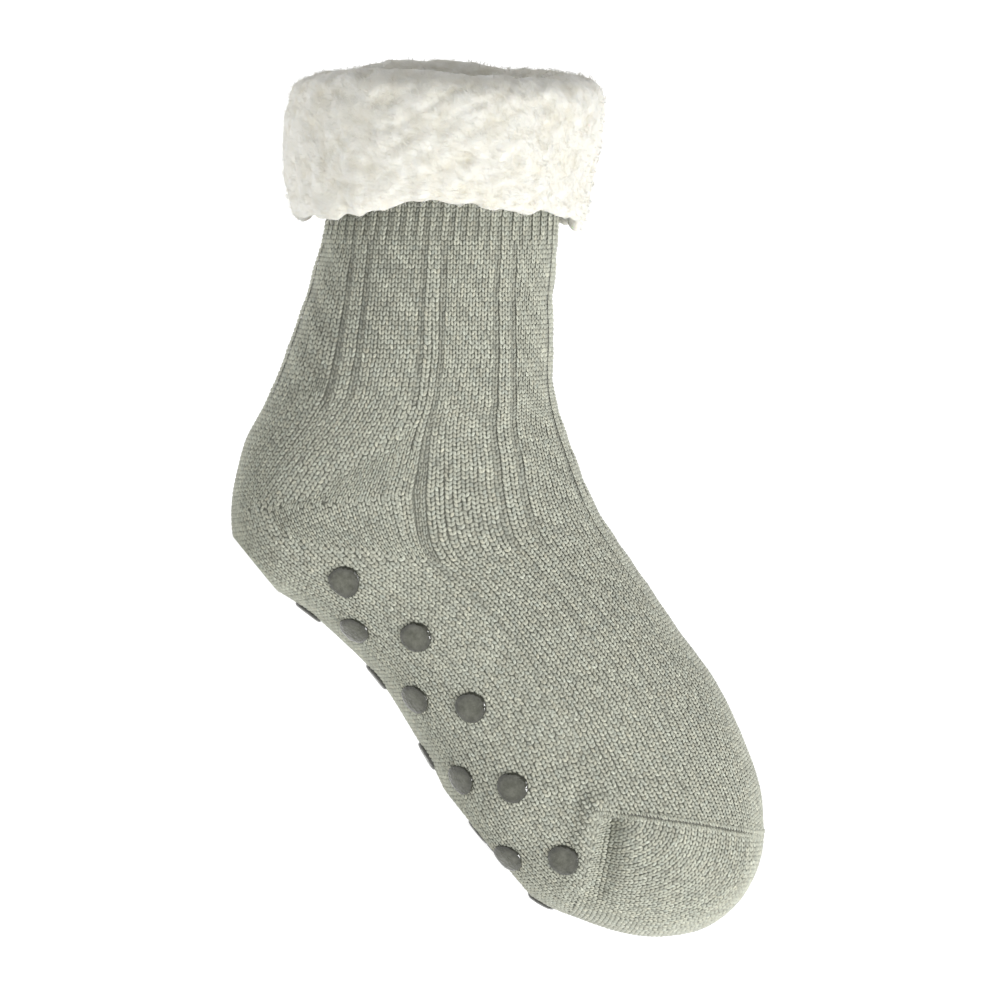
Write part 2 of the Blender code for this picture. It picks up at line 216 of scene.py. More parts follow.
def knit_material(name, tint, gloss):
    """Marled yarn: its tone and painted shade come from each loop, its fibres from fine noise."""
    material = bpy.data.materials.new(name)
    material.use_nodes = True
    nodes, links = material.node_tree.nodes, material.node_tree.links
    shader = nodes["Principled BSDF"]
    shader.inputs["Roughness"].default_value = gloss
    shader.inputs["Sheen Weight"].default_value = 0.25
    shader.inputs["Sheen Roughness"].default_value = 0.6
    shader.inputs["Specular IOR Level"].default_value = 0.25
    shade = nodes.new("ShaderNodeAttribute")
    shade.attribute_name = "tone_and_painted_shade"
    place = nodes.new("ShaderNodeTexCoord")
    fibre = nodes.new("ShaderNodeTexNoise")
    fibre.inputs["Scale"].default_value = 1700
    fibre.inputs["Detail"].default_value = 3
    patch = nodes.new("ShaderNodeTexNoise")
    patch.inputs["Scale"].default_value = 55
    patch.inputs["Detail"].default_value = 2
    marl = nodes.new("ShaderNodeValToRGB")
    marl.color_ramp.elements[0].position = 0.30
    marl.color_ramp.elements[0].color = (*[part * DARK_FIBRE for part in tint], 1)
    marl.color_ramp.elements[1].position = 0.72
    marl.color_ramp.elements[1].color = (*[part * PALE_FIBRE for part in tint], 1)
    mottle = nodes.new("ShaderNodeMapRange")
    mottle.inputs["To Min"].default_value = 0.93
    mottle.inputs["To Max"].default_value = 1.07
    dye = nodes.new("ShaderNodeMix")
    dye.data_type = "RGBA"
    dye.blend_type = "MULTIPLY"
    dye.inputs["Factor"].default_value = 1.0
    evened = nodes.new("ShaderNodeVectorMath")
    evened.operation = "SCALE"
    nap = nodes.new("ShaderNodeBump")
    nap.inputs["Strength"].default_value = 0.5
    nap.inputs["Distance"].default_value = 0.0002
    links.new(place.outputs["Object"], fibre.inputs["Vector"])
    links.new(place.outputs["Object"], patch.inputs["Vector"])
    links.new(fibre.outputs["Fac"], marl.inputs["Fac"])
    links.new(patch.outputs["Fac"], mottle.inputs["Value"])
    links.new(marl.outputs["Color"], dye.inputs["A"])
    links.new(shade.outputs["Color"], dye.inputs["B"])
    links.new(dye.outputs["Result"], evened.inputs[0])
    links.new(mottle.outputs["Result"], evened.inputs["Scale"])
    links.new(evened.outputs["Vector"], shader.inputs["Base Color"])
    links.new(fibre.outputs["Fac"], nap.inputs["Height"])
    links.new(nap.outputs["Normal"], shader.inputs["Normal"])
    return material


YARN_TINT = (0.438, 0.447, 0.370)
# The ground's yarn is painted darker than the loops' yarn: painted shade in the pits between the loops
GROUND_PAINTED_SHADE = 0.60
GROUND_DEPTH = 0.00085
GROUND_AROUND = 180
GROUND_STEPS = 230
ground_places = np.concatenate([np.linspace(0.1, 17.0, GROUND_STEPS), [17.4, 17.65, 17.85, 17.97]])
ground_angles = np.arange(GROUND_AROUND) * 360 / GROUND_AROUND
place_grid, angle_grid = np.meshgrid(ground_places, ground_angles, indexing="ij")
ground_yarn = knit_material("knit_ground", tuple(part * GROUND_PAINTED_SHADE for part in YARN_TINT), 0.95)
ground = mesh_piece(
    "knit_ground", cloth_point(place_grid, angle_grid, -GROUND_DEPTH),
    grid_faces(len(ground_places), GROUND_AROUND, True), ground_yarn,
    np.ones((place_grid.size, 3)))
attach(ground, "root")
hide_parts("knit_sock")


# The loops of the leg, heel and foot. Each stitch shows as two short slanting strands of one
# marled yarn, laid down wales from the collar. Eight plain wales and two ribs between sunken
# wales repeat round the leg and over the instep; heel and sole are plain, and the heel is turned
# with short rows that meet on a mitre.
WALE_COUNT = 108
COURSE = 0.0016
WALE_REPEAT = 12
REFERENCE_ANGLE = 185.9
MITRE_PLACE = 5.3
MITRE_REACH = 1.7
MITRE_TURN = 12.0
MITRE_SPREAD = 90
ROW_SLACK = 0.3
MITRE_FADE = 1.3
GORE_ANGLE = 84
INSTEP_ANGLE = 45
INSTEP_BLEND = 50
FIRST_PLACE = 0.60
END_PLACE = 15.5
TRACK_STEP = 0.02
WIDEST_STITCH = 1.42
SPLIT_ANGLE = 95
TOE_CORNER = np.array([0.1405, 0.0, 0.0390])
FOLD_ANGLE = -51.0
SEAM_LOW_ANGLE = -10
SEAM_END_PLACE = 0.08
SEAM_REACH = 2.05


def seam_place(angle):
    """Where the toe seam crosses the sock at this angle, from its low end to the top."""
    upper = np.where(angle <= 90, angle, 180 - angle)
    share = (upper - SEAM_LOW_ANGLE) / (90 - SEAM_LOW_ANGLE)
    return BALL_PLACE + SEAM_END_PLACE + SEAM_REACH * np.sin(share * np.pi / 2)


# how far the wales lie forward low on the leg, by their angle from the back, and how much of that
# they keep from the cuff down, on the heel's side and on the instep's
FORWARD_FROM_BACK = ((0, 0), (40, 12), (60, 11), (90, 7), (125, 7), (180, 0))
FORWARD_ON_HEEL = ((1.1, 0), (2.6, 0.85), (3.2, 1), (4.0, 0.65), (5.2, 0))
FORWARD_ON_INSTEP = ((1.1, 0), (2.6, 0.85), (3.4, 1), (4.8, 0.85), (7.5, 0))


def wale_angle(place, angle):
    """A wale's angle: level with the leg's front, then drawn back to the mitre at the heel."""
    turned = np.mod(angle + 90, 360)
    from_sole = np.where(turned > 180, 360 - turned, turned)
    near = np.clip(1 - np.abs(place - MITRE_PLACE) / MITRE_REACH, 0, 1) ** MITRE_FADE
    bowed = np.sin(np.pi * from_sole / MITRE_SPREAD)
    drawn = np.where(from_sole < MITRE_SPREAD, MITRE_TURN * bowed * near, 0)
    instep = np.clip((from_sole - INSTEP_ANGLE) / INSTEP_BLEND, 0, 1)
    kept_forward = (np.interp(place, *zip(*FORWARD_ON_HEEL)) * (1 - instep)
                    + np.interp(place, *zip(*FORWARD_ON_INSTEP)) * instep)
    drawn = drawn - np.interp(from_sole, *zip(*FORWARD_FROM_BACK)) * kept_forward
    return angle + np.where(turned > 180, drawn, -drawn)


turn = np.linspace(0, 360, 3601)
round_leg = bare_point(np.full_like(turn, 1.5), REFERENCE_ANGLE - turn)
round_length = np.concatenate([[0], np.cumsum(np.linalg.norm(np.diff(round_leg, axis=0), axis=1))])
wale_numbers = np.arange(WALE_COUNT)
wale_middles = (wale_numbers + 0.5) / WALE_COUNT * round_length[-1]
wale_angles = REFERENCE_ANGLE - np.interp(wale_middles, round_length, turn)
WALE_WIDTH = round_length[-1] / WALE_COUNT
track_places = np.arange(FIRST_PLACE, END_PLACE, TRACK_STEP)
track_place, track_angle = np.meshgrid(track_places, wale_angles, indexing="ij")
track = bare_point(track_place, wale_angle(track_place, track_angle))
run_length = np.concatenate([np.zeros((1, WALE_COUNT)),
                             np.cumsum(np.linalg.norm(np.diff(track, axis=0), axis=2), axis=0)])
from_sole_angle = np.abs(np.mod(wale_angles + 90 + 180, 360) - 180)
gore_wale = int(np.argmin(np.abs(from_sole_angle - GORE_ANGLE)))
above_gore = from_sole_angle > from_sole_angle[gore_wale]
run_length[:, above_gore] = run_length[:, [gore_wale]]
mitre_row = int(np.searchsorted(track_places, MITRE_PLACE))
corner_row = int(np.searchsorted(track_places, BALL_PLACE + SEAM_END_PLACE))
turned_length = run_length + (run_length[corner_row, gore_wale] - run_length[corner_row])

stitch_wale, stitch_place, stitch_course = [], [], []
for wale in range(WALE_COUNT):
    if above_gore[wale] or wale == gore_wale:
        stretches = ((0, len(track_places), run_length),)
    else:
        stretches = ((0, mitre_row, run_length), (mitre_row, len(track_places), turned_length))
    for first, last, lengths in stretches:
        course = lengths[first:last, wale] / COURSE
        wanted = np.arange(math.ceil(course[0] - ROW_SLACK), math.floor(course[-1] + ROW_SLACK) + 1)
        stitch_place.append(np.interp(wanted, course, track_places[first:last]))
        stitch_wale.append(np.full(len(wanted), wale))
        stitch_course.append(wanted)
stitch_place = np.concatenate(stitch_place)
stitch_wale = np.concatenate(stitch_wale)
stitch_course = np.concatenate(stitch_course)
stitch_angle = wale_angle(stitch_place, wale_angles[stitch_wale])
stitch_point = bare_point(stitch_place, stitch_angle)
upper_angle = np.mod(stitch_angle + 90, 360) - 90
on_top = (upper_angle > SEAM_LOW_ANGLE) & (upper_angle < 180 - SEAM_LOW_ANGLE)
fold = np.array([math.cos(math.radians(FOLD_ANGLE)), math.sin(math.radians(FOLD_ANGLE))])
past_fold = ((stitch_point[:, 2] - TOE_CORNER[2]) * fold[0]
             - (stitch_point[:, 0] - TOE_CORNER[0]) * fold[1])
kept = np.where(on_top, stitch_place < seam_place(upper_angle) - 0.05, past_fold < -0.0003)
stitch_place, stitch_wale, stitch_course, stitch_angle, stitch_point = (
    stitch_place[kept], stitch_wale[kept], stitch_course[kept], stitch_angle[kept], stitch_point[kept])


# The pattern's relief, in metres, and the shade painted to go with it, as shares of the yarn's own:
# darker where the loops sink, lighter where they stand out
SUNKEN_DEPTH = -0.00036
RIB_RISE = 0.00014
SLANT_RISE = 0.00024
WELT_RISE = 0.00015
SUNKEN_PAINTED_SHADE = 0.77
RIB_PAINTED_SHADE = 1.03
SLANT_PAINTED_SHADE = 0.08
WELT_PAINTED_SHADE = 0.82
SLANT_COURSES = 1.37
SLANT_REPEAT = 9
HEEL_ANGLE = 82
WELT_END = 1.20


def raised_pattern(wale, course, place, from_sole):
    """How far a loop stands out or sinks in the rib and slanting pattern, and the painted shade that
    goes with it: darker when sunk, lighter when raised.
    """
    column = np.mod(wale + 2, WALE_REPEAT)
    sunken = np.isin(column, (0, 3))
    rib = np.isin(column, (1, 2))
    slant = np.sin(2 * np.pi * (course - SLANT_COURSES * (column - 4)) / SLANT_REPEAT)
    on_heel = from_sole < HEEL_ANGLE
    lasting = np.where(on_heel, np.clip((3.5 - place) / 0.35, 0, 1),
                       np.clip(1.10 - (place - 4) / 7.5, 0.15, 1))
    height = np.where(sunken, SUNKEN_DEPTH, np.where(rib, RIB_RISE, SLANT_RISE * slant)) * lasting
    dark = np.where(sunken, SUNKEN_PAINTED_SHADE, np.where(rib, RIB_PAINTED_SHADE, 1 + SLANT_PAINTED_SHADE * slant))
    dark = 1 + (dark - 1) * lasting
    welt = np.clip((WELT_END - place) / 0.12, 0, 1)
    odd = np.mod(wale, 2) == 0
    height = height * (1 - welt) + np.where(odd, SUNKEN_DEPTH, WELT_RISE) * welt
    dark = dark * (1 - welt) + np.where(odd, WELT_PAINTED_SHADE, RIB_PAINTED_SHADE) * welt
    return height, dark


# One strand of a stitch: across the wale, along it, and height, then its faces
STRAND = np.array([
    (0.04, 0.64, -0.00044), (0.00, 0.24, -0.00022), (0.12, -0.40, -0.00020),
    (0.42, -0.64, -0.00042), (0.37, 0.38, -0.00024), (0.52, -0.26, -0.00024),
    (0.17, 0.28, 0.00014), (0.33, -0.30, 0.00016)])
STRAND_FACES = np.array([
    (0, 6, 1), (1, 6, 7), (1, 7, 2), (2, 7, 3), (0, 4, 6), (4, 7, 6), (4, 5, 7), (5, 3, 7)])
# Painted shade over each strand: dark at its low ends, which tuck under the next loops, lighter along
# its raised crown
STRAND_PAINTED_SHADE = np.array([0.75, 0.90, 0.90, 0.75, 0.90, 0.90, 1.06, 1.06])
STRAND_SLIP = 0.035
STRAND_UNEVEN = 0.00003
MARL_SPREAD = 0.11
MARL_DARKEST = 0.70
MARL_PALEST = 1.30
WARM_SPREAD = 0.012


def lay_stitches(middle, onward, normal, wide, long, lift, dark):
    """The corner points, faces and shades of both strands of every stitch."""
    onward = onward / np.linalg.norm(onward, axis=1, keepdims=True)
    across = np.cross(normal, onward)
    corners, faces, shades = [], [], []
    count = len(middle)
    for side in (1, -1):
        slip = chance.normal(0, STRAND_SLIP, (count, 2))
        u = STRAND[:, 0] * side + slip[:, :1]
        v = STRAND[:, 1] + slip[:, 1:]
        h = STRAND[:, 2] + lift[:, None] + chance.normal(0, STRAND_UNEVEN, (count, 1))
        corners.append(middle[:, None] + across[:, None] * (u * wide[:, None])[..., None]
                       + onward[:, None] * (v * long[:, None])[..., None]
                       + normal[:, None] * h[..., None])
        order = STRAND_FACES if side == 1 else STRAND_FACES[:, ::-1]
        start = (len(faces) * count + np.arange(count))[:, None, None] * len(STRAND)
        faces.append((order + start).reshape(-1, 3))
        marl = np.clip(chance.normal(1.0, MARL_SPREAD, count), MARL_DARKEST, MARL_PALEST) * dark
        warm = chance.normal(0, WARM_SPREAD, count)
        shade = np.stack([marl * (1 + warm), marl, marl * (1 - warm)], -1)
        shades.append(shade[:, None] * STRAND_PAINTED_SHADE[:, None])
    corners = np.concatenate(corners).reshape(-1, 3)
    corners[:, 2] = np.maximum(corners[:, 2], 0.00004)
    return corners, np.concatenate(faces), np.concatenate(shades).reshape(-1, 3)


yarn = knit_material("marled_yarn", YARN_TINT, 0.9)
step = 0.03
ahead = bare_point(stitch_place + step, wale_angle(stitch_place + step, wale_angles[stitch_wale]))
behind = bare_point(stitch_place - step, wale_angle(stitch_place - step, wale_angles[stitch_wale]))
stitch_onward = ahead - behind
stitch_normal = outward(stitch_place, stitch_angle)
next_wale = bare_point(stitch_place, wale_angle(
    stitch_place, wale_angles[stitch_wale] - 360 / WALE_COUNT))
stitch_across = np.cross(
    stitch_normal, stitch_onward / np.linalg.norm(stitch_onward, axis=1, keepdims=True))
angle_step = np.abs(np.gradient(wale_angles))[stitch_wale] / (360 / WALE_COUNT)
stitch_wide = np.abs(np.sum((next_wale - stitch_point) * stitch_across, axis=1)) * angle_step
stitch_long = np.full(len(stitch_place), COURSE)
over_gore = above_gore[stitch_wale]
reference = np.interp(stitch_place, track_places[1:], np.diff(run_length[:, gore_wale]))
own = np.linalg.norm(stitch_onward, axis=1) / (2 * step) * TRACK_STEP
stitch_long[over_gore] = COURSE * (own / reference)[over_gore]
stitch_from_sole = from_sole_angle[stitch_wale]
lift, dark = raised_pattern(stitch_wale, stitch_course, stitch_place, stitch_from_sole)
stitch_ground = cloth_point(stitch_place, stitch_angle, 0.0)

# Beside the heel, where the cloth widens too far for one wale, two narrower ones lie side by side
split = (stitch_wide > WIDEST_STITCH * WALE_WIDTH) & (stitch_from_sole < SPLIT_ANGLE)
beside = stitch_across * (stitch_wide * 0.25)[:, None]
order = np.concatenate([np.flatnonzero(~split), np.flatnonzero(split), np.flatnonzero(split)])
stitch_ground = np.concatenate([stitch_ground[~split], stitch_ground[split] + beside[split],
                                stitch_ground[split] - beside[split]])
stitch_wide = np.where(split, stitch_wide * 0.5, stitch_wide)[order]
stitch_place, stitch_onward, stitch_normal, stitch_long, lift, dark = (
    row[order] for row in (stitch_place, stitch_onward, stitch_normal, stitch_long, lift, dark))
for piece_name, lowest, highest in (
        ("leg_stitches", 0, MITRE_PLACE), ("foot_stitches", MITRE_PLACE, END_PLACE)):
    part = (stitch_place >= lowest) & (stitch_place < highest)
    corners, faces, shades = lay_stitches(
        stitch_ground[part], stitch_onward[part], stitch_normal[part], stitch_wide[part],
        stitch_long[part], lift[part], dark[part])
    stitches = mesh_piece(piece_name, corners, faces, yarn, shades)
    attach(stitches, "root")


# The loops of the toe pocket. Plain wales run from the sole forward round the tip and up to the
# seam, and on each side they close in on the seam's end, where the pocket was turned.
POCKET_TOP = 39.5
POCKET_SIDE = 88
POCKET_ROWS = 70
POCKET_FAN = 70
ground_grid = cloth_point(place_grid, angle_grid, 0.0)
finder = BVHTree.FromPolygons(
    [Vector(point) for point in ground_grid.reshape(-1, 3)],
    grid_faces(len(ground_places), GROUND_AROUND, True).tolist())
fan_rise = np.radians(np.linspace(FOLD_ANGLE, POCKET_TOP, POCKET_ROWS))
fan_aside = np.radians(np.linspace(0, POCKET_SIDE, POCKET_FAN))
pocket = np.zeros((POCKET_ROWS, POCKET_FAN, 3))
pocket_normal = np.zeros_like(pocket)
for i, rise in enumerate(fan_rise):
    for k, aside in enumerate(fan_aside):
        direction = Vector((math.cos(aside) * math.cos(rise), -math.sin(aside),
                            math.cos(aside) * math.sin(rise)))
        place_hit, normal_hit, _, _ = finder.ray_cast(Vector(TOE_CORNER), direction)
        pocket[i, k] = place_hit
        pocket_normal[i, k] = normal_hit if normal_hit.dot(direction) > 0 else -normal_hit
fan_steps = np.linalg.norm(np.diff(pocket, axis=1), axis=2)
fan_length = np.concatenate([np.zeros((POCKET_ROWS, 1)), np.cumsum(fan_steps, axis=1)], axis=1)
pocket_wales = int(round(fan_length[:, -1].mean() / WALE_WIDTH))
pocket_middle, pocket_onward, pocket_out, pocket_wide = [], [], [], []
for wale in range(pocket_wales):
    share = (wale + 0.5) / pocket_wales
    loop, loop_normal = (
        np.array([[np.interp(share * fan_length[i, -1], fan_length[i], fan[i, :, axis])
                   for axis in range(3)] for i in range(POCKET_ROWS)])
        for fan in (pocket, pocket_normal))
    loop_length = np.concatenate([[0], np.cumsum(np.linalg.norm(np.diff(loop, axis=0), axis=1))])
    rows = int(loop_length[-1] / COURSE)
    if rows < 3:
        continue
    wanted = (np.arange(rows) + 0.5) * loop_length[-1] / rows
    middle = np.stack([np.interp(wanted, loop_length, loop[:, axis]) for axis in range(3)], -1)
    slope = np.gradient(loop, loop_length, axis=0)
    onward = np.stack([np.interp(wanted, loop_length, slope[:, axis]) for axis in range(3)], -1)
    facing = np.stack([np.interp(wanted, loop_length, loop_normal[:, axis]) for axis in range(3)], -1)
    facing /= np.linalg.norm(facing, axis=1, keepdims=True)
    width = np.interp(wanted, loop_length, fan_length[:, -1] / pocket_wales)
    for side in (1, -1):
        mirror = np.array([1, side, 1])
        pocket_middle.append(middle * mirror)
        pocket_onward.append(onward * mirror)
        pocket_out.append(facing * mirror)
        pocket_wide.append(width)
pocket_middle = np.concatenate(pocket_middle)
count = len(pocket_middle)
corners, faces, shades = lay_stitches(
    pocket_middle, np.concatenate(pocket_onward), np.concatenate(pocket_out),
    np.concatenate(pocket_wide), np.full(count, COURSE), np.zeros(count), np.ones(count))
toe_stitches = mesh_piece("toe_stitches", corners, faces, yarn, shades)
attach(toe_stitches, "root")


# The toe seam. The open toe is closed by linking its two edges loop by loop with the same yarn,
# which leaves a low ridge of slanting loops; the fine shadow under it is painted dark into the middle
# row of loops.
SEAM_STITCH = 0.0013
SEAM_LOOP_LENGTH = 0.00132
SEAM_LOOP_WIDTH = 0.0014
SEAM_SLANT = 0.35
# how far across the seam, how high, and how dark each row of its loops is painted; the dark middle row
# is a painted shadow line
SEAM_ROWS = ((-0.0009, -0.0001, 0.97), (0.0, -0.0005, 0.42), (0.0009, 0.0001, 1.04))
seam_angles = np.linspace(SEAM_LOW_ANGLE + 1, 180 - SEAM_LOW_ANGLE - 1, 700)
seam_path = cloth_point(seam_place(seam_angles), seam_angles, SEAT_GAP)
seam_normals = outward(seam_place(seam_angles), seam_angles)
seam_length = np.concatenate([[0], np.cumsum(np.linalg.norm(np.diff(seam_path, axis=0), axis=1))])
seam_count = int(seam_length[-1] / SEAM_STITCH)
wanted = (np.arange(seam_count) + 0.5) * seam_length[-1] / seam_count
seam_middle = np.stack([np.interp(wanted, seam_length, seam_path[:, axis]) for axis in range(3)], -1)
seam_along = np.stack([np.interp(wanted, seam_length, np.gradient(seam_path[:, axis], seam_length))
                       for axis in range(3)], -1)
seam_out = np.stack([np.interp(wanted, seam_length, seam_normals[:, axis]) for axis in range(3)], -1)
seam_across = np.cross(seam_out, seam_along)
seam_across = np.where((seam_across @ [-1, 0, 0] > 0)[:, None], seam_across, -seam_across)
slanted = seam_across + SEAM_SLANT * seam_along
corners, faces, shades = lay_stitches(
    np.concatenate([seam_middle + seam_across * row[0] for row in SEAM_ROWS]),
    np.tile(slanted, (3, 1)), np.tile(seam_out, (3, 1)),
    np.full(seam_count * 3, SEAM_LOOP_WIDTH), np.full(seam_count * 3, SEAM_LOOP_LENGTH),
    np.repeat([row[1] for row in SEAM_ROWS], seam_count),
    np.repeat([row[2] for row in SEAM_ROWS], seam_count))
toe_seam = mesh_piece("toe_seam_loops", corners, faces, yarn, shades)
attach(toe_seam, "root")
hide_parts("toe_seam")


# The fleece. The sock is lined with looped cream fleece of polyester, its pile brushed into soft
# locks. At the collar the lining is turned over outwards as a deep cuff, sewn down under its edge.
CUFF_HEIGHT = 0.046
CUFF_STAND = 0.0172
CUFF_PILE = 0.0066
CUFF_ROLL = 0.0062
CUFF_LINING = 0.0034
CUFF_LINING_DROP = 0.026
CUFF_GAP = 0.0006
CUFF_EDGE_RISE = 0.008
# share of the cuff's height, then how far it stands off round most of the leg and at its front
CUFF_FACE = ((0.05, 0.95, 0.86), (0.20, 1.00, 0.88), (0.42, 0.98, 0.80),
             (0.64, 0.90, 0.67), (0.82, 0.78, 0.62), (0.94, 0.66, 0.58))
# angle from the left side towards the front, and how far the slack roll rises there
RIM_RISES = ((-90, -0.0005), (-50, 0.0022), (-10, 0.0066), (35, 0.0034), (90, 0.0012),
             (140, -0.0008), (180, 0.0004), (212, 0.0024), (270, -0.0005))
CUFF_RADIUS = 0.045
CUFF_AROUND = 460
CUFF_STEPS = 170


def fleece_material(name, pale, deep):
    """Cream pile, times the shade at each corner, which on the cuff is painted shade, warm in its
    hollows; soft-edged, with fine curls in the bump.
    """
    material = bpy.data.materials.new(name)
    material.use_nodes = True
    nodes, links = material.node_tree.nodes, material.node_tree.links
    shader = nodes["Principled BSDF"]
    shader.inputs["Roughness"].default_value = 1.0
    shader.inputs["Specular IOR Level"].default_value = 0.1
    shader.inputs["Sheen Weight"].default_value = 0.35
    shader.inputs["Sheen Roughness"].default_value = 0.7
    shader.inputs["Subsurface Weight"].default_value = 0.35
    shader.inputs["Subsurface Radius"].default_value = (1.0, 0.85, 0.65)
    shader.inputs["Subsurface Scale"].default_value = 0.003
    place = nodes.new("ShaderNodeTexCoord")
    depth = nodes.new("ShaderNodeAttribute")
    depth.attribute_name = "tone_and_painted_shade"
    lock = nodes.new("ShaderNodeTexNoise")
    lock.inputs["Scale"].default_value = 130
    lock.inputs["Detail"].default_value = 4
    lock.inputs["Distortion"].default_value = 0.8
    curl = nodes.new("ShaderNodeTexNoise")
    curl.inputs["Scale"].default_value = 900
    curl.inputs["Detail"].default_value = 3
    curl.inputs["Distortion"].default_value = 1.2
    tone = nodes.new("ShaderNodeValToRGB")
    tone.color_ramp.elements[0].position = 0.30
    tone.color_ramp.elements[0].color = (*deep, 1)
    tone.color_ramp.elements[1].position = 0.62
    tone.color_ramp.elements[1].color = (*pale, 1)
    dye = nodes.new("ShaderNodeMix")
    dye.data_type = "RGBA"
    dye.blend_type = "MULTIPLY"
    dye.inputs["Factor"].default_value = 1.0
    nap = nodes.new("ShaderNodeBump")
    nap.inputs["Strength"].default_value = 0.6
    nap.inputs["Distance"].default_value = 0.0005
    links.new(place.outputs["Object"], lock.inputs["Vector"])
    links.new(place.outputs["Object"], curl.inputs["Vector"])
    links.new(lock.outputs["Fac"], tone.inputs["Fac"])
    links.new(tone.outputs["Color"], dye.inputs["A"])
    links.new(depth.outputs["Color"], dye.inputs["B"])
    links.new(dye.outputs["Result"], shader.inputs["Base Color"])
    links.new(curl.outputs["Fac"], nap.inputs["Height"])
    links.new(nap.outputs["Normal"], shader.inputs["Normal"])
    return material


pile_chance = np.random.default_rng(5)
LATTICE = pile_chance.random((64, 64, 64))


def lumps(point, size):
    """Smooth noise from -1 to 1 with lumps of this size."""
    scaled = point / size
    low = np.floor(scaled).astype(int)
    part = scaled - low
    part = part * part * (3 - 2 * part)
    total = 0.0
    for corner in np.ndindex(2, 2, 2):
        weight = np.prod(np.where(np.array(corner) == 1, part, 1 - part), axis=-1)
        x, y, z = np.moveaxis(np.mod(low + np.array(corner), 64), -1, 0)
        total = total + weight * LATTICE[x, y, z]
    return total * 2 - 1


LOCK_SPACING = 0.0095
LOCK_HEIGHT = 0.0010
LOCK_ROUNDNESS = 0.55
LOCK_AROUND = -0.58
LOCK_DOWN = 0.81
# where in the noise, how wide and how high the lumps and curls over the locks are
PILE_LUMPS = ((0.1, 0.0060, 0.0006), (0.5, 0.0031, 0.0005), (0.9, 0.0015, 0.0002))


def pile_height(point, around, down):
    """How far the pile stands out: slanting locks, broken into lumps and small curls."""
    warp = 0.0060 * lumps(point, 0.022) + 0.0020 * lumps(point + 0.3, 0.008)
    slanted_run = around * LOCK_AROUND + down * LOCK_DOWN + warp
    locks = np.abs(np.sin(np.pi * slanted_run / LOCK_SPACING)) ** LOCK_ROUNDNESS - 0.75
    broken = np.clip(0.55 + 0.60 * lumps(point + 0.7, 0.012), 0.1, 1)
    height = LOCK_HEIGHT * locks * broken
    for shift, size, rise in PILE_LUMPS:
        height = height + rise * lumps(point + shift, size)
    return height


fleece = fleece_material("cream_pile", (0.755, 0.747, 0.690), (0.708, 0.688, 0.606))
inside = -KNIT_WALL - CUFF_GAP
lining_face = inside - CUFF_LINING


def cuff_section(stands):
    """The cuff's section: how far down and out each point lies, and its share of the rim's rise."""
    face = [(row[0] * CUFF_HEIGHT, stand * CUFF_STAND) for row, stand in zip(CUFF_FACE, stands)]
    top_down, top_out = face[0]
    section = list(reversed(face))
    middle, reach = (top_out + lining_face) / 2, (top_out - lining_face) / 2
    for number in range(1, 8):
        half_turn = math.pi * number / 8
        section.append((top_down * (1 - number / 8) - CUFF_ROLL * math.sin(half_turn),
                        middle + reach * math.cos(half_turn)))
    section = [(down, out, 1 - down / CUFF_HEIGHT) for down, out in section]
    section += [(CUFF_LINING_DROP * share, lining_face, 1 - share) for share in (0.0, 0.35, 0.7, 0.94)]
    section.append((CUFF_LINING_DROP, inside - CUFF_LINING / 2, 0))
    section += [(CUFF_LINING_DROP * share, inside, 0) for share in (0.94, 0.45)]
    section += [(-CUFF_GAP, inside, 0), (-CUFF_GAP, CUFF_GAP, 0)]
    section += [(down + CUFF_PILE * 0.3, out - CUFF_PILE, 0) for down, out in face[1:-1]]
    section.append((face[-1][0], face[-1][1] - CUFF_PILE * 0.9, 0))
    section.append((CUFF_HEIGHT, face[-1][1] - CUFF_PILE * 0.45, 0))
    return np.array(section + section[:1])


side_section = cuff_section([row[1] for row in CUFF_FACE])
front_section = cuff_section([row[2] for row in CUFF_FACE])
section_steps = np.linalg.norm(np.diff(side_section[:, :2], axis=0), axis=1)
section_length = np.concatenate([[0], np.cumsum(section_steps)])
wanted = np.arange(CUFF_STEPS) * section_length[-1] / CUFF_STEPS
evened = []
for section in (side_section, front_section):
    even = np.stack([np.interp(wanted, section_length, section[:, axis]) for axis in range(3)], -1)
    for _ in range(3):
        even = 0.25 * np.roll(even, 1, axis=0) + 0.5 * even + 0.25 * np.roll(even, -1, axis=0)
    evened.append(even)
cuff_angles = np.arange(CUFF_AROUND) * 360 / CUFF_AROUND - 90
ahead_share = np.maximum(np.sin(np.radians(cuff_angles)), 0)[:, None] ** 2
fine_angles = np.arange(-90, 271)
rough_rise = np.interp(fine_angles, [row[0] for row in RIM_RISES], [row[1] for row in RIM_RISES])
smooth_rise = np.convolve(np.pad(rough_rise, 12, "wrap"), np.ones(25) / 25, "valid")
rim_rise = np.interp(cuff_angles, fine_angles, smooth_rise)
angle_of = np.repeat(cuff_angles[:, None], CUFF_STEPS, axis=1)
out_of = evened[0][:, 1] + (evened[1][:, 1] - evened[0][:, 1]) * ahead_share
down_of = evened[0][:, 0] - rim_rise[:, None] * evened[0][:, 2]
outer = out_of > 0.002
cuff_lines = np.stack([np.cos(np.radians(angle_of)), np.sin(np.radians(angle_of)),
                       0 * angle_of], -1) * CUFF_RADIUS
hang = np.maximum(down_of / CUFF_HEIGHT, 0) * outer
edge_wave = 0.0022 * lumps(cuff_lines, 0.011) + 0.0011 * lumps(cuff_lines + 0.2, 0.005)
lowered = down_of - (CUFF_EDGE_RISE * np.cos(np.radians(angle_of)) ** 2 + edge_wave) * hang
collar_spacing = (SHAFT_SECTIONS[0][1] - SHAFT_SECTIONS[1][1]) * SHAFT_LENGTH
cuff_grid = (bare_point(lowered / collar_spacing, angle_of)
             + outward(lowered / collar_spacing, angle_of) * out_of[..., None])
round_way = np.roll(cuff_grid, -1, axis=0) - np.roll(cuff_grid, 1, axis=0)
